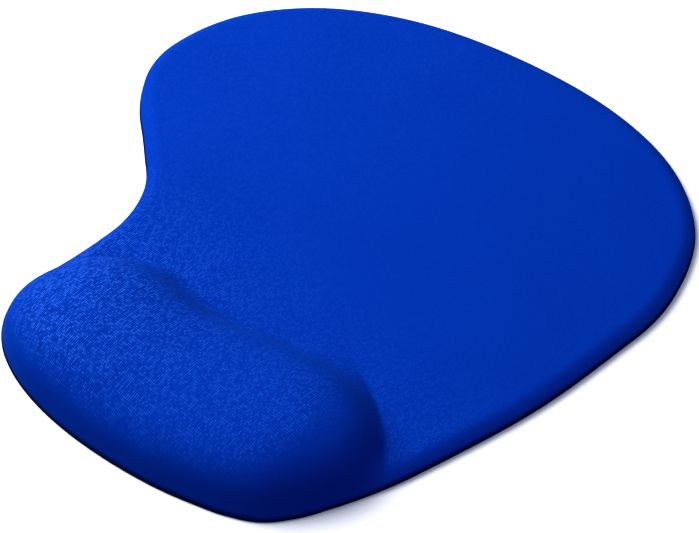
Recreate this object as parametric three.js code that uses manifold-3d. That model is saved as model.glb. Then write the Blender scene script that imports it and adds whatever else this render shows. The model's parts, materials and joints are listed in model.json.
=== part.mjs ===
// Mouse pad with a built-in gel wrist rest: a knit-covered laminate on a rubber base.
// Millimetres, +Z up, +X to the user's right, +Y away from the user. The origin is on the
// underside, at the middle of the outline's box.
import * as THREE from 'three';
import { mergeVertices } from 'three/addons/utils/BufferGeometryUtils.js';
import Module from 'manifold-3d';

// Outline of the rubber base, which is the largest layer.
const padWidth = 200;
const padLength = 213;
const lobeWidth = 130;         // across the wrist lobe
const lobeShift = -1.4;        // the lobe's middle, from the pad's middle
const farArcDepth = 71;        // rounded far end, measured along Y
const nearArcDepth = 32;       // rounded near end of the lobe
const farRightSquareness = 2.38;   // exponents of the superellipses at the four corners
const farLeftSquareness = 2.1;
const nearLeftSquareness = 2.2;
const nearRightSquareness = 2.1;
const waistDepth = 20;         // how far the left side is drawn in between mat and lobe
const rightBow = 6;            // how far the right side bows out

// Layers, from the table up.
const baseThickness = 0.8;
const adhesiveThickness = 0.15;
const coreThickness = 2.5;
const filmThickness = 0.2;
const knitThickness = 0.7;

// Pressed edge and insets between layers.
const baseReveal = 0.5;        // base left showing outside the knit
const adhesiveSetback = 0.3;   // base adhesive, in from the knit's edge
const edgeLip = 1.4;           // height of the knit's upright edge above the base
const rollWidth = 5;           // width of the rolled, pressed band
const bondGap = 0.1;           // glue line between curved layers

// Wrist dome.
const domeHeight = 20.5;       // top of the higher humps, above the table
const domeSaddle = 1.5;        // how much lower the middle is
const domeSaddleReach = 24;    // half width of that lower stretch
const domeLength = 60;         // from the pad's near edge to the back of the humps
const domeNotch = 4.5;         // hollow in the back of the kidney
const domeMargin = 1.6;        // in from the knit's edge along the front
const domeFootHeight = 2.4;    // where the dome's curve starts, above the base
const domeFullness = 2.3;      // exponent of the dome's cross section
const pouchFlange = 2.5;       // welded rim of the gel pouch
const pouchClearance = 0.2;    // between the pouch and the film over it
const coreClearance = 0.3;     // between the foam core and the pouch flange

const outlineSteps = 64;
const domeSteps = 52;
const controlSteps = 8;        // spans along each rounded end

const halfWidth = padWidth / 2;
const halfLobe = lobeWidth / 2;
const farCentreY = padLength / 2 - farArcDepth;
const nearCentreY = -padLength / 2 + nearArcDepth;
const knitBottom = baseThickness + adhesiveThickness;
const coreTop = knitBottom + coreThickness;
const filmBottom = coreTop + adhesiveThickness;
const knitCeiling = filmBottom + filmThickness;
const matTop = knitCeiling + knitThickness;

// Each layer's distance in from the knit's outer surface.
const filmInset = knitThickness + bondGap;
const coreInset = filmInset + filmThickness + bondGap;

// Quarter of a superellipse, from the +X end (turn 0) to the +Y end (turn 90 degrees).
function arcPoint(turn, reachX, reachY, exponent) {
  const x = Math.abs(Math.cos(turn)) ** (2 / exponent) * Math.sign(Math.cos(turn));
  const y = Math.abs(Math.sin(turn)) ** (2 / exponent);
  return [reachX * x, reachY * y];
}

// Control points of the base's outline, anticlockwise from the widest point on the right.
function outlineControls() {
  const points = [];
  for (let i = 0; i <= controlSteps; i += 1) {
    const turn = Math.PI * i / controlSteps;
    const exponent = turn < Math.PI / 2 ? farRightSquareness : farLeftSquareness;
    const [x, y] = arcPoint(turn, halfWidth, farArcDepth, exponent);
    points.push([x, farCentreY + y]);
  }
  // A point down one side (1 right, -1 left), pushed outwards by shift.
  const side = (hand, t, shift) => [
    THREE.MathUtils.lerp(hand * halfWidth, lobeShift + hand * halfLobe, t) + hand * shift,
    THREE.MathUtils.lerp(farCentreY, nearCentreY, t),
  ];
  // Share of the full waist along the left side, from the mat to the lobe.
  const waist = [[0.18, 0.08], [0.33, 0.57], [0.47, 1.0], [0.62, 0.97], [0.8, 0.53]];
  for (const [t, share] of waist) points.push(side(-1, t, -waistDepth * share));
  for (let i = 0; i <= controlSteps; i += 1) {
    const turn = Math.PI * i / controlSteps;
    const exponent = turn < Math.PI / 2 ? nearLeftSquareness : nearRightSquareness;
    if (i === controlSteps - 1) continue;   // the right end runs on into the slanted side
    const [x, y] = arcPoint(turn, halfLobe, nearArcDepth, exponent);
    points.push([lobeShift - x, nearCentreY - y]);
  }
  for (const t of [0.75, 0.5, 0.25]) points.push(side(1, t, rightBow * Math.sin(Math.PI * t)));
  return points;
}

// A closed smooth curve through the control points, as evenly spaced points and the
// directions square to it, pointing outwards.
function smoothLoop(controls, steps) {
  const knots = controls.map(([x, y]) => new THREE.Vector3(x, y, 0));
  const curve = new THREE.CatmullRomCurve3(knots, true, 'centripetal');
  const points = [];
  for (let i = 0; i < steps; i += 1) {
    const at = curve.getPointAt(i / steps);
    const along = curve.getTangentAt(i / steps);
    points.push({ x: at.x, y: at.y, outX: along.y, outY: -along.x });
  }
  return points;
}

const inset = (loop, distance) => loop.map((p) => [p.x - p.outX * distance, p.y - p.outY * distance]);

const baseLoop = smoothLoop(outlineControls(), outlineSteps);
const knitLoop = baseLoop.map((p) => ({
  ...p, x: p.x - p.outX * baseReveal, y: p.y - p.outY * baseReveal,
}));

// The wrist dome's footprint, drawn in along its back and along its front. The back is a
// shallow kidney; the left end and the front follow the knit's edge. A negative inset
// pushes outwards.
function domeLoop(backInset, frontInset) {
  const backY = -padLength / 2 + domeLength;
  // Place across the lobe, and drop behind the humps as a share of the notch.
  const back = [
    [0.955, 25], [0.905, 14.5], [0.75, 5.5], [0.5, 0.3], [0.2, 0.3 * domeNotch],
    [-0.1, domeNotch], [-0.4, 0.3 * domeNotch], [-0.62, 0.3], [-0.8, 5],
  ];
  const controls = back.map(([share, drop]) => [halfLobe * share, backY - drop]);
  const leftEnd = backY - 19;
  const rightEnd = backY - 33;
  const front = knitLoop.filter((p) => p.y < (p.x < 0 ? leftEnd : rightEnd));
  for (const p of front) controls.push([p.x - p.outX * domeMargin, p.y - p.outY * domeMargin]);
  return smoothLoop(controls, domeSteps).map((p) => {
    const onBack = p.y > nearCentreY && p.x > -halfLobe * 0.9 && p.x < halfLobe;
    const distance = onBack ? backInset : frontInset;
    return { ...p, x: p.x - p.outX * distance, y: p.y - p.outY * distance };
  });
}

const planeTriangles = (points) => {
  const contour = points.map(([x, y]) => new THREE.Vector2(x, y));
  return THREE.ShapeUtils.triangulateShape(contour, []);
};

// A closed solid through rings of the same number of points, each [x, y, z], bottom first.
// A top that isn't flat is given its triangles, so that nested layers crease alike.
function loft(rings, topTriangles = planeTriangles(rings.at(-1))) {
  const count = rings[0].length;
  const index = [];
  for (let ring = 0; ring + 1 < rings.length; ring += 1) {
    for (let i = 0; i < count; i += 1) {
      const a = ring * count + i;
      const b = ring * count + (i + 1) % count;
      index.push(a, b, b + count, a, b + count, a + count);
    }
  }
  const last = (rings.length - 1) * count;
  for (const [a, b, c] of planeTriangles(rings[0])) index.push(a, c, b);
  for (const [a, b, c] of topTriangles) index.push(last + a, last + b, last + c);
  const geometry = new THREE.BufferGeometry();
  geometry.setAttribute('position', new THREE.Float32BufferAttribute(rings.flat(2), 3));
  geometry.setIndex(index);
  return geometry;
}

const level = (flatLoop, z) => flatLoop.map(([x, y]) => [x, y, z]);

const wasm = await Module();
wasm.setup();

function solid(geometry) {
  const merged = mergeVertices(geometry, 1e-5);
  return new wasm.Manifold(new wasm.Mesh({
    numProp: 3,
    vertProperties: new Float32Array(merged.attributes.position.array),
    triVerts: new Uint32Array(merged.index.array),
  }));
}

function toGeometry(manifold) {
  const mesh = manifold.getMesh();
  const geometry = new THREE.BufferGeometry();
  geometry.setAttribute('position', new THREE.BufferAttribute(mesh.vertProperties, 3));
  geometry.setIndex(new THREE.BufferAttribute(mesh.triVerts, 1));
  return geometry;
}

// Flat sheet between two heights.
const sheet = (flatLoop, low, high) => solid(loft([level(flatLoop, low), level(flatLoop, high)]));

// The mat's body with its rolled edge, at a distance in from the knit's outer surface.
function matBody(distance, low, top) {
  const lip = baseThickness + edgeLip - distance;
  const rings = [level(inset(knitLoop, distance), low), level(inset(knitLoop, distance), lip)];
  for (const t of [0.2, 0.45, 0.7, 1]) {
    const z = lip + (top - lip) * (1 - (1 - t) ** 2);
    rings.push(level(inset(knitLoop, distance + rollWidth * t), z));
  }
  return solid(loft(rings));
}

const crownTriangles = planeTriangles(domeLoop(0, 0).map((p) => [p.x, p.y]));

// The wrist dome, at a distance in from the knit's outer surface. flange draws the foot in
// further than the top.
function domeBody(distance, flange, low) {
  const foot = domeLoop(distance + flange, distance + flange);
  const footZ = baseThickness + domeFootHeight - distance;
  const ringShares = [1, 0.97, 0.9, 0.79, 0.64, 0.46, 0.25];
  const spineY = nearCentreY;
  const spineReach = halfLobe * 0.55;
  const rings = [foot.map((p) => [p.x, p.y, low])];
  for (const share of ringShares) {
    rings.push(foot.map((p) => {
      const spineX = THREE.MathUtils.clamp(p.x, -spineReach, spineReach);
      const crest = domeHeight - distance - domeSaddle * Math.exp(-((spineX / domeSaddleReach) ** 2));
      const rise = (1 - share ** domeFullness) ** (1 / domeFullness);
      return [
        THREE.MathUtils.lerp(spineX, p.x, share),
        THREE.MathUtils.lerp(spineY, p.y, share),
        footZ + (crest - footZ) * rise,
      ];
    }));
  }
  return solid(loft(rings, crownTriangles));
}

// Everything under a layer's outer surface: mat and dome joined.
function padBody(distance, low, top) {
  return matBody(distance, low, top).add(domeBody(distance, 0, low));
}

const cutLow = knitBottom - 1;     // cutters start below the layers they open

function knitCover() {
  return padBody(0, knitBottom, matTop).subtract(padBody(knitThickness, cutLow, knitCeiling));
}

function coverFilm() {
  const outer = padBody(filmInset, knitBottom, knitCeiling);
  return outer.subtract(padBody(filmInset + filmThickness, cutLow, filmBottom));
}

// Cuts the wrist lobe out of the foam, past the pad's front edge.
function lobeCutter() {
  const spill = -(domeMargin + rollWidth);
  const loop = domeLoop(coreInset - coreClearance, spill).map((p) => [p.x, p.y]);
  return sheet(loop, cutLow, matTop);
}

function matCore() {
  return matBody(coreInset, knitBottom, coreTop).subtract(lobeCutter());
}

function coreAdhesive() {
  const area = sheet(inset(knitLoop, coreInset + rollWidth), coreTop, filmBottom);
  return area.subtract(lobeCutter());
}

const pouchInset = coreInset + pouchClearance;
const pouchBaseTop = knitBottom + filmThickness;

function pouchSheet(low, high) {
  const loop = domeLoop(pouchInset, pouchInset).map((p) => [p.x, p.y]);
  return sheet(loop, low, high);
}

function gelPouchTop() {
  const flange = pouchSheet(pouchBaseTop, pouchBaseTop + filmThickness);
  const bulge = domeBody(pouchInset, pouchFlange, pouchBaseTop);
  return flange.add(bulge).subtract(domeBody(pouchInset + filmThickness, pouchFlange, cutLow));
}

function gelFill() {
  return domeBody(pouchInset + filmThickness + bondGap, pouchFlange, pouchBaseTop);
}

const layers = [
  ['knit_cover', knitCover, 0x1145c4, 0.85],
  ['cover_film', coverFilm, 0xdfe6ee, 0.45],
  ['core_adhesive', coreAdhesive, 0xe8e0c4, 0.6],
  ['mat_core', matCore, 0x2b2d31, 0.95],
  ['gel_pouch_top', gelPouchTop, 0xd9e4ea, 0.3],
  ['gel_fill', gelFill, 0x9fc4e6, 0.2],
  ['gel_pouch_base', () => pouchSheet(knitBottom, pouchBaseTop), 0xd9e4ea, 0.3],
  ['base_adhesive', () => sheet(inset(knitLoop, adhesiveSetback), baseThickness, knitBottom), 0xe8e0c4, 0.6],
  ['grip_base', () => sheet(inset(baseLoop, 0), 0, baseThickness), 0x14171d, 0.9],
];

const wristRest = new THREE.Group();
for (const [name, make, color, roughness] of layers) {
  const material = new THREE.MeshStandardMaterial({ color, roughness, metalness: 0 });
  const mesh = new THREE.Mesh(toGeometry(make()), material);
  mesh.name = name;
  wristRest.add(mesh);
}

export default wristRest;
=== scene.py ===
import json
import math

import bpy
import numpy as np
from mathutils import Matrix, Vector
from mathutils.bvhtree import BVHTree


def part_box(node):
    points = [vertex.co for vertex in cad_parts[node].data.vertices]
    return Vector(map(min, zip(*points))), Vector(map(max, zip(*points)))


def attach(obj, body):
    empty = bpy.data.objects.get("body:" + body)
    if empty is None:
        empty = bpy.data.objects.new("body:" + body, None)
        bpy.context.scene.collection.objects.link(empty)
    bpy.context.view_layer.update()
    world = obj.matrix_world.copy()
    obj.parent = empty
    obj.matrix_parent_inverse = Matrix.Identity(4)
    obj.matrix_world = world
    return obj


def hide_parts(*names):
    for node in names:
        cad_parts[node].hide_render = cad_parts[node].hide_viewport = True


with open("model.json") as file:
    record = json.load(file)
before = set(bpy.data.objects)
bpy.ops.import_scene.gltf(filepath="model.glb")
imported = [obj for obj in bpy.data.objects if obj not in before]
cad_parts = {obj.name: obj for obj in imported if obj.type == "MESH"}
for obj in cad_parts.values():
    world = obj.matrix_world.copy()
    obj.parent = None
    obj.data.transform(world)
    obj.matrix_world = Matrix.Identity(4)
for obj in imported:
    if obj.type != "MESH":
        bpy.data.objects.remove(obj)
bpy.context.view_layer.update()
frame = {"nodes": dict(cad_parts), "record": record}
mm = 0.001
scene = bpy.context.scene


def say(stage):
    print(f"wrist rest: {stage}")


# One node in a shader or geometry tree: its settings first, then values or links for its sockets.
def addNode(tree, kind, settings=None, values=None):
    made = tree.nodes.new(kind)
    for name, setting in (settings or {}).items():
        setattr(made, name, setting)
    for name, value in (values or {}).items():
        socket = made.inputs[name]
        value = getattr(value, "socket", value)
        if isinstance(value, bpy.types.NodeSocket):
            tree.links.new(value, socket)
        else:
            socket.default_value = value
    return made


# A socket that takes Python maths: each operation adds a Math node.
class Wire:
    def __init__(self, tree, socket):
        self.tree = tree
        self.socket = socket

    def maths(self, operation, first, second=0.0):
        made = addNode(self.tree, "ShaderNodeMath", {"operation": operation}, {0: first, 1: second})
        return Wire(self.tree, made.outputs[0])

    def __add__(self, other):
        return self.maths("ADD", self, other)

    def __radd__(self, other):
        return self.maths("ADD", other, self)

    def __sub__(self, other):
        return self.maths("SUBTRACT", self, other)

    def __rsub__(self, other):
        return self.maths("SUBTRACT", other, self)

    def __mul__(self, other):
        return self.maths("MULTIPLY", self, other)

    def __rmul__(self, other):
        return self.maths("MULTIPLY", other, self)

    def __truediv__(self, other):
        return self.maths("DIVIDE", self, other)

    def __abs__(self):
        return self.maths("ABSOLUTE", self)

    def wave(self):
        return self.maths("SINE", self)

    def part(self):
        return self.maths("FRACT", self)

    def whole(self):
        return self.maths("FLOOR", self)

    def held(self, low=0.0, high=1.0):
        return self.maths("MAXIMUM", self.maths("MINIMUM", self, high), low)


# One material: its tree, its shader, and the patterns that the finishes share.
class Finish:
    def __init__(self, name):
        self.material = bpy.data.materials.new(name)
        self.material.use_nodes = True
        self.tree = self.material.node_tree
        self.shader = self.tree.nodes["Principled BSDF"]

    def node(self, kind, settings=None, values=None, output=0):
        return Wire(self.tree, addNode(self.tree, kind, settings, values).outputs[output])

    def set(self, **values):
        for name, value in values.items():
            socket = self.shader.inputs[name.replace("_", " ")]
            if isinstance(value, Wire):
                self.tree.links.new(value.socket, socket)
            else:
                socket.default_value = value

    def place(self, turn=0.0):
        here = self.node("ShaderNodeTexCoord", output="Object")
        return self.node("ShaderNodeMapping", {}, {"Vector": here, "Rotation": (0, 0, turn)})

    def noise(self, where, perMetre, detail=2.0, roughness=0.5):
        values = {"Vector": where, "Scale": perMetre, "Detail": detail, "Roughness": roughness}
        return self.node("ShaderNodeTexNoise", {}, values)

    def between(self, share, first, second):
        values = {0: share}
        for socket, value in ((6, first), (7, second)):
            values[socket] = value if isinstance(value, Wire) else (*value, 1)
        return self.node("ShaderNodeMix", {"data_type": "RGBA"}, values, output=2)

    def bump(self, height, depth, strength=1.0):
        values = {"Height": height, "Distance": depth, "Strength": strength}
        self.set(Normal=self.node("ShaderNodeBump", {}, values))


# Royal-blue stretch knit, plain on the mat and opened into leaning stitches over the cushion.
knitLook = {
    "colour": (0.0010, 0.067, 0.405),
    "shade": (0.0001, 0.016, 0.17),
    # painted glint: the lighter blue of stitch tops that catch the light
    "paintedGlint": (0.10, 0.24, 0.66),
    "paintedGlintShare": 0.45,          # how far a stitch that catches the light turns to the painted glint colour
    "paintedGlintFrom": 0.3,            # the loop height where the painted glint starts
    "walePitch": 0.66 * mm,      # between columns of stitches
    "coursePitch": 0.85 * mm,    # between rows
    "lean": 1.2,                 # how far the stitches lean in to the column's middle, in rows
    "grainTurn": math.radians(5.7),
    "columnDrift": 0.4,          # how far the columns wander, in columns
    "driftPerMetre": 90,
    "mottlePerMetre": 2200,
    "cloudPerMetre": 30,
    "openFrom": -5 * mm,         # the knit opens up from here towards the wrist
    "openTo": -68 * mm,
    "openLeast": 0.12,
    "litEndTo": 54 * mm,           # and, as painted light, the weave and glints grow towards the lit left end
    "litEndOver": 85 * mm,
    "litEndLeast": 0.45,
    "steepest": 0.55,            # upward part of the normal below which the weave's contrast and the painted glints fade, as painted shade on steep sides
    "steepFade": 2.6,
    "rightShadeFade": 4,              # they fade sooner on slopes that face right, away from the key lamp: painted shade
    "loopTone": 0.85,
    "mottleTone": 0.5,
    "stitchTone": 0.4,
    "cloudTone": 0.12,
    "meanLoop": 0.48,
    "loopDepth": 0.10 * mm,
    "roughness": 0.75,
    "gloss": 0.05,
    "glossTint": (0.1, 0.35, 1.0),
    "sheen": 0.08,
    "sheenRoughness": 0.35,
    "sheenTint": (0.12, 0.42, 1.0),
}


def knitFinish():
    look = knitLook
    finish = Finish("royalBlueKnit")
    where = finish.place(look["grainTurn"])
    split = addNode(finish.tree, "ShaderNodeSeparateXYZ", {}, {0: where})
    across = Wire(finish.tree, split.outputs[0])
    along = Wire(finish.tree, split.outputs[1])
    normal = finish.node("ShaderNodeTexCoord", output="Normal")
    facing = addNode(finish.tree, "ShaderNodeSeparateXYZ", {}, {0: normal})
    upward = Wire(finish.tree, facing.outputs[2])
    rightward = Wire(finish.tree, facing.outputs[0])
    # The weave's contrast and the painted glints fade on steep slopes and on slopes that face right, as
    # painted shade; they grow where the knit opens towards the wrist, and towards the lit left end.
    litSlope = ((upward - look["steepest"]) * look["steepFade"]).held()
    litSlope = litSlope * (1.5 - rightward * look["rightShadeFade"]).held()
    nearWrist = (along - look["openFrom"]) / (look["openTo"] - look["openFrom"])
    nearLeft = (look["litEndTo"] - across) / look["litEndOver"]
    openAndLit = nearWrist.held(look["openLeast"]) * litSlope * nearLeft.held(look["litEndLeast"])
    drift = finish.noise(where, look["driftPerMetre"], 2.0) - 0.5
    column = across / look["walePitch"] + drift * look["columnDrift"]
    rib = abs((column * math.pi).wave())                # rounded columns, dark between
    row = along / look["coursePitch"] + abs(column.part() - 0.5) * look["lean"]
    stitch = 1 - abs(row.part() - 0.5) * 2
    loop = rib * (0.5 + 0.5 * stitch)
    cell = finish.node("ShaderNodeCombineXYZ", {}, {0: column.whole(), 1: row.whole()})
    each = finish.node("ShaderNodeTexWhiteNoise", {"noise_dimensions": "2D"}, {"Vector": cell})
    mottle = finish.noise(where, look["mottlePerMetre"], 1.0, 0.7) - 0.5
    cloud = finish.noise(where, look["cloudPerMetre"], 3.0) - 0.5
    grain = (loop - look["meanLoop"]) * look["loopTone"] + mottle * look["mottleTone"]
    grain = grain + (each - 0.5) * look["stitchTone"]
    tone = (0.5 + grain * openAndLit + cloud * look["cloudTone"]).held()
    plain = finish.between(tone, look["shade"], look["colour"])
    # Painted glints: few stitches catch much light, and most catch a little, only where the knit is open
    # and lit.
    paintedGlintStrength = 0.15 + each * each * 1.9
    paintedGlint = ((loop - look["paintedGlintFrom"]) * paintedGlintStrength).held() * openAndLit * look["paintedGlintShare"]
    # Base colour: the weave's tones with the painted glints over them.
    finish.set(Base_Color=finish.between(paintedGlint, plain, look["paintedGlint"]))
    finish.set(Roughness=(look["roughness"] + mottle * 0.2).held())
    finish.set(Specular_IOR_Level=look["gloss"], Specular_Tint=(*look["glossTint"], 1))
    finish.set(Sheen_Weight=look["sheen"], Sheen_Roughness=look["sheenRoughness"])
    finish.set(Sheen_Tint=(*look["sheenTint"], 1))
    finish.bump(loop * openAndLit + each * 0.3, look["loopDepth"], 0.6)
    return finish.material


# Film, gel, glue, card and rubber: one colour with faint clouds and a fine grain.
plainLook = {"darkest": 0.7, "roughnessSpread": 0.12}


def plainFinish(name, colour, roughness, grain, depth, clear=0.0, gloss=0.5):
    finish = Finish(name)
    cloud = finish.noise(finish.place(), grain, 4.0, 0.6)
    darker = tuple(plainLook["darkest"] * channel for channel in colour)
    finish.set(Base_Color=finish.between(cloud, darker, colour))
    finish.set(Roughness=roughness + plainLook["roughnessSpread"] * cloud)
    finish.set(Transmission_Weight=clear, Specular_IOR_Level=gloss)
    finish.bump(cloud, depth)
    return finish.material


view = {
    "azimuth": 35.0,
    "elevation": 48.5,
    "fieldOfView": 22.0,
    "distance": 565.4 * mm,
    "middle": (9.9 * mm, -5.4 * mm, 0.0),
}


def addCamera():
    turn, rise = math.radians(view["azimuth"]), math.radians(view["elevation"])
    back = Vector((math.sin(turn) * math.cos(rise), -math.cos(turn) * math.cos(rise), math.sin(rise)))
    lens = bpy.data.cameras.new("camera")
    lens.sensor_fit = "HORIZONTAL"
    lens.angle = math.radians(view["fieldOfView"])
    lens.clip_start = 0.01
    camera = bpy.data.objects.new("camera", lens)
    camera.location = Vector(view["middle"]) + back * view["distance"]
    camera.rotation_euler = back.to_track_quat("Z", "Y").to_euler()
    scene.collection.objects.link(camera)
    scene.camera = camera


studio = {
    "floorColour": (0.9, 0.9, 0.9),
    "floorRoughness": 0.85,
    "floorReach": 4.0,
    "cardDrop": 0.01,            # a black card this far under the floor
    "look": "High Contrast",
    "skyStrength": 0.30,
    "lamps": {                   # place in metres, width, watts, colour
        "key": ((-0.56, -0.03, 0.54), 0.75, 9.7, (1, 1, 1)),
        "fill": ((0.75, -0.40, 0.42), 0.9, 2.0, (0.25, 0.42, 1.0)),
    },
}


def addFloor(name, height, material):
    reach = studio["floorReach"]
    corners = [(-reach, -reach), (reach, -reach), (reach, reach), (-reach, reach)]
    made = newObject(name, [(x, y, height) for x, y in corners], [(0, 1, 2, 3)], material)
    return made


def addStudio():
    paper = Finish("palePaper")
    paper.set(Base_Color=(*studio["floorColour"], 1), Specular_IOR_Level=0.1)
    paper.set(Roughness=studio["floorRoughness"] + 0.05 * paper.noise(paper.place(), 30))
    floor = addFloor("floor", 0, paper.material)
    floor.visible_diffuse = False      # it throws no light up under the knit
    addFloor("blackCard", -studio["cardDrop"], plainFinish("blackCard", (0.01, 0.01, 0.01), 0.9, 50, 0.0))
    world = bpy.data.worlds.new("softSky")
    world.use_nodes = True
    sky = world.node_tree.nodes["Background"]
    sky.inputs["Color"].default_value = (1, 1, 1, 1)
    sky.inputs["Strength"].default_value = studio["skyStrength"]
    scene.world = world
    for name, (place, width, watts, colour) in studio["lamps"].items():
        lamp = bpy.data.lights.new(name, "AREA")
        lamp.shape = "DISK"
        lamp.size = width
        lamp.energy = watts
        lamp.color = colour
        holder = bpy.data.objects.new(name, lamp)
        holder.location = place
        holder.rotation_euler = Vector(place).to_track_quat("Z", "Y").to_euler()
        scene.collection.objects.link(holder)
    scene.view_settings.view_transform = "Standard"
    scene.view_settings.look = studio["look"]


def newObject(name, vertices, faces, material):
    mesh = bpy.data.meshes.new(name)
    mesh.from_pydata([tuple(v) for v in vertices], [], faces)
    mesh.materials.append(material)
    mesh.shade_smooth()
    made = bpy.data.objects.new(name, mesh)
    scene.collection.objects.link(made)
    return made


def readArray(items, field, width=3):
    values = np.empty(len(items) * width)
    items.foreach_get(field, values)
    return values.reshape(-1, width)


# The modifiers' result becomes the object's own mesh.
def settle(made):
    ready = made.evaluated_get(bpy.context.evaluated_depsgraph_get())
    mesh = bpy.data.meshes.new_from_object(ready)
    made.modifiers.clear()
    made.data = mesh
    return mesh


addCamera()
addStudio()
say("camera, floor and light are set")

# The wrist cushion starts from the gel's own solid and is blown up from inside.
cushion = {
    "voxel": 2.6 * mm,
    "startSmaller": 0.5 * mm,
    "pressure": 4.0,
    "frames": 20,
    "mostSwell": 1.2 * mm,
    "heldFoot": 1.5 * mm,        # the lowest stretch keeps its place
    "evenings": 12,
    "lastEvenings": 4,
    "fill": 0.85,
}
weldGap = 0.01 * mm


def evened(points, edges, rounds, share=0.5):
    count = np.bincount(edges.ravel(), minlength=len(points))[:, None]
    for _ in range(rounds):
        total = np.zeros_like(points)
        np.add.at(total, edges[:, 0], points[edges[:, 1]])
        np.add.at(total, edges[:, 1], points[edges[:, 0]])
        points = points + (total / count - points) * share
    return points


def swell(made, free):
    cloth = made.modifiers.new("swell", "CLOTH")
    hold = made.vertex_groups.new(name="hold")
    hold.add([int(i) for i in np.nonzero(~free)[0]], 1.0, "REPLACE")
    cloth.settings.vertex_group_mass = "hold"
    cloth.settings.use_pressure = True
    cloth.settings.uniform_pressure_force = cushion["pressure"]
    cloth.settings.effector_weights.gravity = 0
    cloth.settings.quality = 5
    for number in range(1, cushion["frames"] + 1):
        scene.frame_set(number)
    ready = made.evaluated_get(bpy.context.evaluated_depsgraph_get())
    moved = readArray(ready.data.vertices, "co")
    made.modifiers.clear()
    made.vertex_groups.clear()
    scene.frame_set(1)
    return moved


def wristCushion():
    boxLow, boxHigh = (np.array(corner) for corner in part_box("gel_fill"))
    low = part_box("gel_fill")[0].z
    made = bpy.data.objects.new("wristCushion", frame["nodes"]["gel_fill"].data.copy())
    scene.collection.objects.link(made)
    weld = made.modifiers.new("weld", "WELD")
    weld.merge_threshold = weldGap
    cells = made.modifiers.new("cells", "REMESH")
    cells.mode = "VOXEL"
    cells.voxel_size = cushion["voxel"]
    mesh = settle(made)
    edges = readArray(mesh.edges, "vertices", 2).astype(int)
    start = evened(readArray(mesh.vertices, "co"), edges, cushion["evenings"])
    mesh.vertices.foreach_set("co", start.ravel())
    start = start - readArray(mesh.vertices, "normal") * cushion["startSmaller"]
    start[:, 2] = np.maximum(start[:, 2], low)
    mesh.vertices.foreach_set("co", start.ravel())
    mesh.update()
    free = start[:, 2] > low + cushion["heldFoot"]
    moved = swell(made, free)
    step = moved - start
    far = np.linalg.norm(step, axis=1)[:, None]
    say(f"cushion swells {far.max() / mm:.2f} mm before the limit")
    step *= np.minimum(1, cushion["mostSwell"] / np.maximum(far, 1e-9))
    final = evened(start + step, edges, cushion["lastEvenings"])
    span = final.max(0) - final.min(0)
    final = boxLow + (final - final.min(0)) / span * (boxHigh - boxLow)
    made.data.vertices.foreach_set("co", final.ravel())
    made.data.materials.clear()
    smooth = made.modifiers.new("smooth", "SUBSURF")
    smooth.levels = smooth.render_levels = 1
    settle(made)
    made.data.materials.append(plainFinish("clearGel", (0.35, 0.42, 0.5), 0.12, 120, 0.05 * mm, 0.6))
    made.data.shade_smooth()
    return made


wrist = wristCushion()
say(f"wrist cushion, {len(wrist.data.vertices)} points")


# The outline of a flat sheet of the frame, anticlockwise.
def sheetOutline(node):
    points = readArray(frame["nodes"][node].data.vertices, "co")[:, :2]
    points = np.unique(np.round(points, 6), axis=0)
    return points[np.argsort(np.arctan2(points[:, 1], points[:, 0]))]


# A closed Catmull-Rom curve through the points, resampled evenly, with its outward normals.
def smoothLoop(points, count):
    steps = np.linspace(0, 1, 12, endpoint=False)[None, :, None]     # between two points
    a, b, c, d = (np.roll(points, shift, 0)[:, None, :] for shift in (1, 0, -1, -2))
    fine = 0.5 * (2 * b + (c - a) * steps + (2 * a - 5 * b + 4 * c - d) * steps ** 2
                  + (3 * b - a - 3 * c + d) * steps ** 3)
    fine = fine.reshape(-1, 2)
    closed = np.vstack([fine, fine[:1]])
    length = np.concatenate([[0], np.cumsum(np.hypot(*np.diff(closed, axis=0).T))])
    at = np.linspace(0, length[-1], count, endpoint=False)
    loop = np.stack([np.interp(at, length, closed[:, k]) for k in (0, 1)], 1)
    along = np.roll(loop, -1, 0) - np.roll(loop, 1, 0)
    outward = np.stack([along[:, 1], -along[:, 0]], 1)
    return loop, outward / np.linalg.norm(outward, axis=1)[:, None]


# Distance from each place to a closed polygon.
def distanceTo(polygon, places):
    step = np.roll(polygon, -1, 0) - polygon
    nearest = np.full(len(places), np.inf)
    for start, side in zip(polygon, step):
        share = np.clip((places - start) @ side / (side @ side), 0, 1)[:, None]
        nearest = np.minimum(nearest, np.linalg.norm(places - start - share * side, axis=1))
    return nearest


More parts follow.
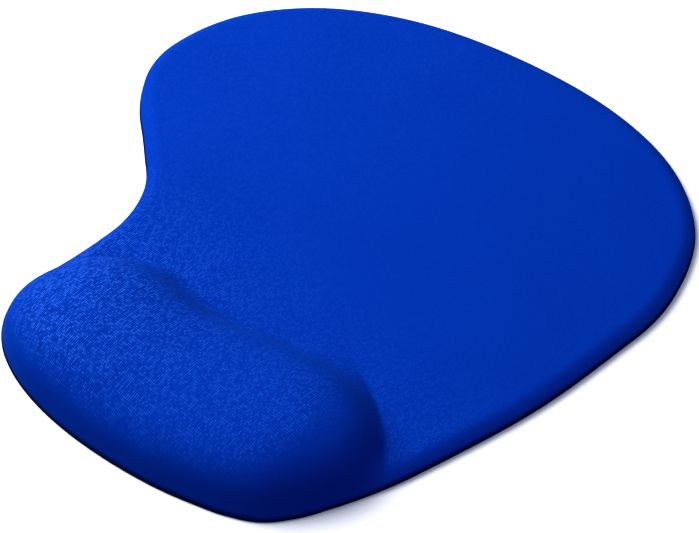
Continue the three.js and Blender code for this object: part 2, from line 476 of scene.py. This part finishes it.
# The knit is drawn tight over the mat and the cushion, and rolls down over the mat's edge.
knit = {
    "thickness": 0.7 * mm,
    "around": 540,
    "rings": 112,
    "rimSteps": (0, 0.12, 0.3, 0.55, 0.85, 1.2, 1.6, 2.05, 2.55, 3.1, 3.7, 4.35, 5.05, 5.8, 6.6),
    "poleShare": 0.04,           # the innermost ring's size
    "innerFirst": 5,             # the rings that the knit's back has
    "innerEvery": 2,
    "lip": 1.4 * mm,             # cut edge, before the roll starts
    "rollWidth": 5.0 * mm,
    "wellInside": 50 * mm,       # any distance past the roll
    "reveal": 0.5 * mm,
    "middle": (0.0, -12 * mm),
    "sideGap": 3.9 * mm,         # cushion's side to the knit's face
    "topGap": 1.6 * mm,
    "endFrom": -28 * mm,         # the left end lies along the edge and slopes down to it
    "endReach": 32 * mm,
    "endGap": 0.8 * mm,
    "endDrop": 3.2 * mm,
    "nearForm": 15 * mm,         # past the cushion's back, the knit lies flat
    "fillet": 0.7 * mm,          # how far out the knit is free of the mat
    "bondWidth": 0.7 * mm,       # over which the glue takes hold
    "softFillet": 9.0 * mm,      # and where the cushion's back is hollow
    "softBond": 3.5 * mm,
    "softMiddle": 21 * mm,
    "softLeft": 17 * mm,
    "softRight": 23 * mm,
    "softFront": -75 * mm,
    "rimFillet": 4 * mm,         # and where the cushion comes near the mat's edge
    "rimFrom": 7 * mm,
    "rimOver": 4 * mm,
    "rounds": 90,
    "freeRounds": 5,             # the last ones, which smooth without the form
    "edgeEvery": 15,             # rounds between looks at how far in each point lies
}

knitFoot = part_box("base_adhesive")[1].z
mounts = {mount["name"]: mount for mount in frame["record"]["mounts"]}
matTop = mounts["mouse_surface"]["pos_m"][2]
baseLoop, baseOut = smoothLoop(sheetOutline("grip_base"), knit["around"])
knitLoop = baseLoop - baseOut * knit["reveal"]


def rollHeight(distance):
    t = np.clip(distance / knit["rollWidth"], 0, 1)
    lip = knitFoot + knit["lip"]
    return lip + (matTop - lip) * (1 - (1 - t) ** 2)


# Rings from the knit's edge to its middle, and how far each point lies in from the edge.
def knitPlan():
    steps = np.array(knit["rimSteps"]) * mm
    rim = [knitLoop - baseOut * step for step in steps]
    shares = np.linspace(1, knit["poleShare"], knit["rings"] - len(steps) + 1)[1:]
    middle = np.array(knit["middle"])
    inner = [middle + (rim[-1] - middle) * share for share in shares]
    plan = np.array(rim + inner)
    edge = np.concatenate([steps, np.full(len(inner), knit["wellInside"])])
    return plan, np.repeat(edge[:, None], knit["around"], 1)


# The cushion's skin, moved out to where the knit's face lies on it.
def cushionForm():
    points = readArray(wrist.data.vertices, "co")
    out = readArray(wrist.data.vertices, "normal")
    toEnd = np.clip((knit["endFrom"] - points[:, 0]) / knit["endReach"], 0, 1)
    side = knit["sideGap"] + knit["endGap"] * toEnd
    form = points + out * np.column_stack([side, side, np.full(len(out), knit["topGap"])])
    form[:, 2] -= knit["endDrop"] * toEnd ** 1.5 * form[:, 2] / form[:, 2].max()
    faces = [tuple(p.vertices) for p in wrist.data.polygons]
    return BVHTree.FromPolygons([tuple(p) for p in form], faces), form[:, 1].max()


# The plan dropped on the form: heights, which points lie on the form, and gaps to it.
def droppedOn(tree, back, plan, ground):
    flat = plan.reshape(-1, 2)
    height = ground.ravel().copy()
    inside = np.zeros(len(flat), bool)
    gap = np.full(len(flat), 1.0)
    for i in np.nonzero(flat[:, 1] < back + knit["nearForm"])[0]:
        x, y = flat[i]
        hit = tree.ray_cast(Vector((x, y, 0.1)), Vector((0, 0, -1)))[0]
        if hit is not None and hit.z > height[i]:
            height[i] = hit.z
            inside[i] = True
        gap[i] = tree.find_nearest(Vector((x, y, height[i])))[3]
    return (values.reshape(ground.shape) for values in (height, inside, gap))


# How firmly each point is glued to the mat, from 0 to 1.
def glueHold(plan, inside, gap):
    fromSoft = plan[..., 0] - knit["softMiddle"]
    soft = np.exp(-((fromSoft / np.where(fromSoft > 0, knit["softRight"], knit["softLeft"])) ** 2))
    soft *= plan[..., 1] > knit["softFront"]
    atRim = np.clip((knit["rimFrom"] - gap[0][None, :]) / knit["rimOver"], 0, 1)
    reach = knit["fillet"] + (knit["softFillet"] - knit["fillet"]) * soft + knit["rimFillet"] * atRim
    width = knit["bondWidth"] + (knit["softBond"] - knit["bondWidth"]) * np.maximum(soft, atRim)
    bond = np.where(inside, 0, np.clip((gap - reach) / width, 0, 1)) ** 2
    bond[0] = bond[-1] = 1
    return bond


# Each point's pull towards its neighbours: the rings outside and inside, then the two beside it.
def neighbourPull(plan):
    radial = np.linalg.norm(np.diff(plan, axis=0), axis=2)
    around = np.linalg.norm(np.roll(plan, -1, 1) - plan, axis=2)
    wide = (around + np.roll(around, 1, 1)) / 2
    deep = np.zeros(wide.shape)
    deep[1:-1] = (radial[1:] + radial[:-1]) / 2
    deep[0], deep[-1] = radial[0], radial[-1]
    pull = np.zeros((4, *wide.shape))
    pull[0, 1:] = wide[1:] / radial
    pull[1, :-1] = wide[:-1] / radial
    pull[2] = deep / around
    pull[3] = np.roll(pull[2], 1, 1)
    return (pull / pull.sum(0))[..., None]


# The knit's face: a tight skin that stays outside the form and above the mat.
def drawnKnit():
    plan, edge = knitPlan()
    ground = rollHeight(edge)
    tree, back = cushionForm()
    height, inside, gap = droppedOn(tree, back, plan, ground)
    bond = glueHold(plan, inside, gap)
    pull = neighbourPull(plan)
    top = np.dstack([plan, height])
    where = np.nonzero(bond < 1)
    held = bond[where][:, None]
    laid = top[where]
    least = ground[where]
    for turn in range(knit["rounds"]):
        total = np.roll(top, 1, 0) * pull[0] + np.roll(top, -1, 0) * pull[1]
        total += np.roll(top, -1, 1) * pull[2] + np.roll(top, 1, 1) * pull[3]
        moved = total[where]
        if turn < knit["rounds"] - knit["freeRounds"]:
            for k, place in enumerate(moved):
                spot, normal, _, _ = tree.find_nearest(Vector(place))
                if (Vector(place) - spot).dot(normal) < 0:
                    moved[k] = spot
        moved = moved * (1 - held) + laid * held
        if (turn + 1) % knit["edgeEvery"] == 0:
            least = rollHeight(distanceTo(knitLoop, moved[:, :2]))
        moved[:, 2] = np.maximum(moved[:, 2], least)
        top[where] = moved
    say(f"knit drawn over the cushion, {len(laid)} loose points, top {top[..., 2].max() / mm:.2f} mm")
    return top


def gridNormals(grid):
    inward = np.gradient(grid, axis=0)
    around = np.roll(grid, -1, 1) - np.roll(grid, 1, 1)
    normal = np.cross(around, inward)
    return normal / np.linalg.norm(normal, axis=2)[..., None]


# Rings from the first pole, down over the edge, and back in to the second.
def shellFromRings(name, rings, firstPole, lastPole, material):
    count = len(rings[0])
    vertices = np.vstack([*rings, [firstPole], [lastPole]])
    first, last = len(vertices) - 2, len(vertices) - 1
    faces = []
    tail = (len(rings) - 1) * count
    for i in range(count):
        j = (i + 1) % count
        faces += [(r * count + i, (r + 1) * count + i, (r + 1) * count + j, r * count + j)
                  for r in range(len(rings) - 1)]
        faces += [(first, i, j), (last, tail + j, tail + i)]
    return newObject(name, vertices, faces, material)


def knitCover(top, normals):
    rings = list(top[::-1])
    lip = top[0, :, 2]
    for share in (0.25, 0.5, 0.75, 1.0):
        rings.append(np.column_stack([knitLoop, lip + (knitFoot - lip) * share]))
    inset = knitLoop - baseOut * knit["thickness"]
    rings.append(np.column_stack([inset, np.full(len(inset), knitFoot)]))
    under = top - normals * knit["thickness"]
    inner = range(knit["innerFirst"], len(top), knit["innerEvery"])
    rings += [under[i] for i in inner if np.all(under[i, :, 2] > knitFoot)]
    middle = knit["middle"]
    firstPole = (*middle, top[-1, :, 2].mean())
    lastPole = (*middle, firstPole[2] - knit["thickness"])
    return shellFromRings("knitCover", rings, firstPole, lastPole, knitFinish())


top = drawnKnit()
normals = gridNormals(top)
cover = knitCover(top, normals)
say(f"knit cover, {len(cover.data.polygons)} faces")


# The film bonded to the knit's back, at two depths below the knit's face.
backing = {"shallow": 0.74 * mm, "deep": 0.92 * mm, "firstRing": 6, "everyRing": 2}


def coverFilm():
    clear = np.all(top[..., 2] - backing["deep"] * 2 > knitFoot, axis=1)
    start = max(int(np.argmax(clear)), backing["firstRing"])
    middle = knit["middle"]
    height = top[-1, :, 2].mean()
    faces, poles = [], []
    for depth in (backing["shallow"], backing["deep"]):
        faces.append((top - normals * depth)[start::backing["everyRing"]])
        poles.append((*middle, height - depth))
    look = plainFinish("coverFilm", (0.1, 0.12, 0.2), 0.35, 400, 0.03 * mm)
    return shellFromRings("coverFilm", [*faces[0][::-1], *faces[1]], *poles, look)


# The pouch: the cushion's skin, a little outside it and flat underneath.
pouchSkin = {                    # gap to the cushion, and to the pouch's foot
    "outer": (0.35 * mm, 0.02 * mm),
    "inner": (0.15 * mm, 0.12 * mm),
}


def gelPouch():
    points = readArray(wrist.data.vertices, "co")
    out = readArray(wrist.data.vertices, "normal")
    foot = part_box("gel_pouch_base")[0].z
    skins = []
    for gap, footGap in pouchSkin.values():
        skin = points + out * gap
        skin[:, 2] = np.maximum(skin[:, 2], foot + footGap)
        skins.append(skin)
    faces = [tuple(p.vertices) for p in wrist.data.polygons]
    flipped = [tuple(len(points) + i for i in face[::-1]) for face in faces]
    look = plainFinish("pouchFilm", (0.55, 0.6, 0.66), 0.25, 300, 0.03 * mm, 0.5)
    return newObject("gelPouch", np.vstack(skins), faces + flipped, look)


# The foam sheet, with closed cells.
core = {
    "round": 0.25 * mm,
    "cellsPerMetre": 1500,
    "cellDepth": 0.25 * mm,
    "cloudPerMetre": 60,
    "colour": (0.05, 0.055, 0.065),
    "darkest": 0.45,
    "roughness": 0.85,
}


def foamFinish():
    finish = Finish("blackFoam")
    where = finish.place()
    cells = finish.node("ShaderNodeTexVoronoi", {}, {"Vector": where, "Scale": core["cellsPerMetre"]})
    cloud = finish.noise(where, core["cloudPerMetre"], 3.0)
    darker = tuple(core["darkest"] * channel for channel in core["colour"])
    finish.set(Base_Color=finish.between((cells * 0.8 + cloud * 0.3).held(), darker, core["colour"]))
    finish.set(Roughness=core["roughness"])
    finish.bump(cells, core["cellDepth"], 0.7)
    return finish.material


def foamCore():
    made = bpy.data.objects.new("foamCore", frame["nodes"]["mat_core"].data.copy())
    scene.collection.objects.link(made)
    weld = made.modifiers.new("weld", "WELD")
    weld.merge_threshold = weldGap
    plane = made.modifiers.new("plane", "DECIMATE")
    plane.decimate_type = "DISSOLVE"
    plane.angle_limit = math.radians(3)
    ease = made.modifiers.new("ease", "BEVEL")
    ease.width = core["round"]
    ease.segments = 2
    ease.angle_limit = math.radians(50)
    settle(made)
    made.data.materials.clear()
    made.data.materials.append(foamFinish())
    return made


# The rubber base is a die-cut sheet that stands on rows of moulded studs.
base = {
    "studHeight": 0.3 * mm,
    "studWidth": 1.8 * mm,
    "studTip": 1.1 * mm,
    "studPitch": 4.0 * mm,
    "studMargin": 2.4 * mm,      # sheet left plain round the edge
    "studSides": 8,
    "sink": 0.02 * mm,           # the studs reach this far into the sheet
    "edgeRound": 0.12 * mm,
    "faceShares": (0.15, 0.6, 0.95),
    "colour": (0.001, 0.007, 0.070),
}
rowShare = math.sqrt(0.75)       # between staggered rows, in pitches


def gripBase(rubber):
    topZ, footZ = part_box("grip_base")[1].z, base["studHeight"]
    ease = base["edgeRound"]
    bend = 0.3 * ease            # the rounded edge's middle ring
    rings = [(share, 0, topZ) for share in base["faceShares"]]
    for inset, z in ((ease, topZ), (bend, topZ - bend), (0, topZ - ease),
                     (0, footZ + ease), (bend, footZ + bend), (ease, footZ)):
        rings.append((1, inset, z))
    rings += [(share, 0, footZ) for share in base["faceShares"][::-1]]
    middle = np.array(knit["middle"])
    laid = []
    for share, inset, z in rings:
        plan = middle + (baseLoop - baseOut * inset - middle) * share
        laid.append(np.column_stack([plan, np.full(len(plan), z)]))
    return shellFromRings("gripBase", laid, (*middle, topZ), (*middle, footZ), rubber)


def studTree(rubber):
    tree = bpy.data.node_groups.new("studs", "GeometryNodeTree")
    tree.interface.new_socket("Geometry", in_out="INPUT", socket_type="NodeSocketGeometry")
    for name, kind in (("Pitch", "Float"), ("Width", "Float"), ("Tip", "Float"), ("Height", "Float"),
                       ("Columns", "Int"), ("Rows", "Int"), ("Sides", "Int")):
        tree.interface.new_socket(name, in_out="INPUT", socket_type=f"NodeSocket{kind}")
    tree.interface.new_socket("Geometry", in_out="OUTPUT", socket_type="NodeSocketGeometry")
    given = tree.nodes.new("NodeGroupInput").outputs
    pitch, width, tip, height, columns, rows = (
        Wire(tree, given[name]) for name in ("Pitch", "Width", "Tip", "Height", "Columns", "Rows"))
    grid = addNode(tree, "GeometryNodeMeshGrid", {}, {
        "Size X": (columns - 1) * (pitch * rowShare), "Size Y": (rows - 1) * pitch,
        "Vertices X": given["Columns"], "Vertices Y": given["Rows"]})
    index = Wire(tree, addNode(tree, "GeometryNodeInputIndex").outputs[0])
    odd = ((index / rows + 0.0001).whole() * 0.5).part() * 2      # the small push guards the rounding
    shift = addNode(tree, "ShaderNodeCombineXYZ", {}, {"Y": odd * pitch * 0.5})
    placed = addNode(tree, "GeometryNodeSetPosition", {}, {
        "Geometry": grid.outputs["Mesh"], "Offset": shift.outputs[0]})
    # Only the points that lie on the sheet, away from its edge, get a stud.
    ray = addNode(tree, "GeometryNodeRaycast", {}, {
        "Target Geometry": given["Geometry"], "Ray Direction": (0, 0, 1), "Ray Length": 1.0})
    miss = addNode(tree, "FunctionNodeBooleanMath", {"operation": "NOT"}, {0: ray.outputs["Is Hit"]})
    kept = addNode(tree, "GeometryNodeDeleteGeometry", {"domain": "POINT"}, {
        "Geometry": placed.outputs[0], "Selection": miss.outputs[0]})
    stud = addNode(tree, "GeometryNodeMeshCone", {"fill_type": "NGON"}, {
        "Vertices": given["Sides"], "Side Segments": 2, "Radius Top": width * 0.5,
        "Radius Bottom": tip * 0.5, "Depth": height})
    spread = addNode(tree, "GeometryNodeInstanceOnPoints", {}, {
        "Points": kept.outputs[0], "Instance": stud.outputs["Mesh"]})
    real = addNode(tree, "GeometryNodeRealizeInstances", {}, {0: spread.outputs[0]})
    painted = addNode(tree, "GeometryNodeSetMaterial", {}, {
        "Geometry": real.outputs[0], "Material": rubber})
    addNode(tree, "NodeGroupOutput", {}, {0: painted.outputs[0]})
    return tree


def gripStuds(rubber):
    edge = baseLoop - baseOut * (base["studMargin"] + base["studWidth"] / 2)
    patch = [(x, y, base["studHeight"]) for x, y in edge]
    made = newObject("gripStuds", patch, [tuple(range(len(patch)))], rubber)
    span = baseLoop.max(0) - baseLoop.min(0)
    studs = made.modifiers.new("studs", "NODES")
    studs.node_group = studTree(rubber)
    values = {
        "Pitch": base["studPitch"], "Width": base["studWidth"], "Tip": base["studTip"],
        "Height": base["studHeight"] + base["sink"], "Sides": base["studSides"],
        "Columns": int(span[0] / (base["studPitch"] * rowShare)) + 2,
        "Rows": int(span[1] / base["studPitch"]) + 2,
    }
    for item in studs.node_group.interface.items_tree:
        if item.in_out == "INPUT" and item.name in values:
            studs[item.identifier] = values[item.name]
    settle(made)
    return made


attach(cover, "root")
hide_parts("knit_cover")

film = coverFilm()
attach(film, "root")
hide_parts("cover_film")

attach(wrist, "root")
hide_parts("gel_fill")

pouch = gelPouch()
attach(pouch, "root")
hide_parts("gel_pouch_top", "gel_pouch_base")

foam = foamCore()
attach(foam, "root")
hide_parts("mat_core")

rubber = plainFinish("navyRubber", base["colour"], 0.7, 900, 0.04 * mm, gloss=0.05)
for piece in (gripBase(rubber), gripStuds(rubber)):
    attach(piece, "root")
    if piece.name == "gripBase":
        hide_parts("grip_base")
    say(f"{piece.name}, {len(piece.data.polygons)} faces")

glue = plainFinish("driedAdhesive", (0.02, 0.025, 0.05), 0.5, 500, 0.03 * mm)
for name in ("core_adhesive", "base_adhesive"):
    node = frame["nodes"][name]
    node.data.materials.clear()
    node.data.materials.append(glue)
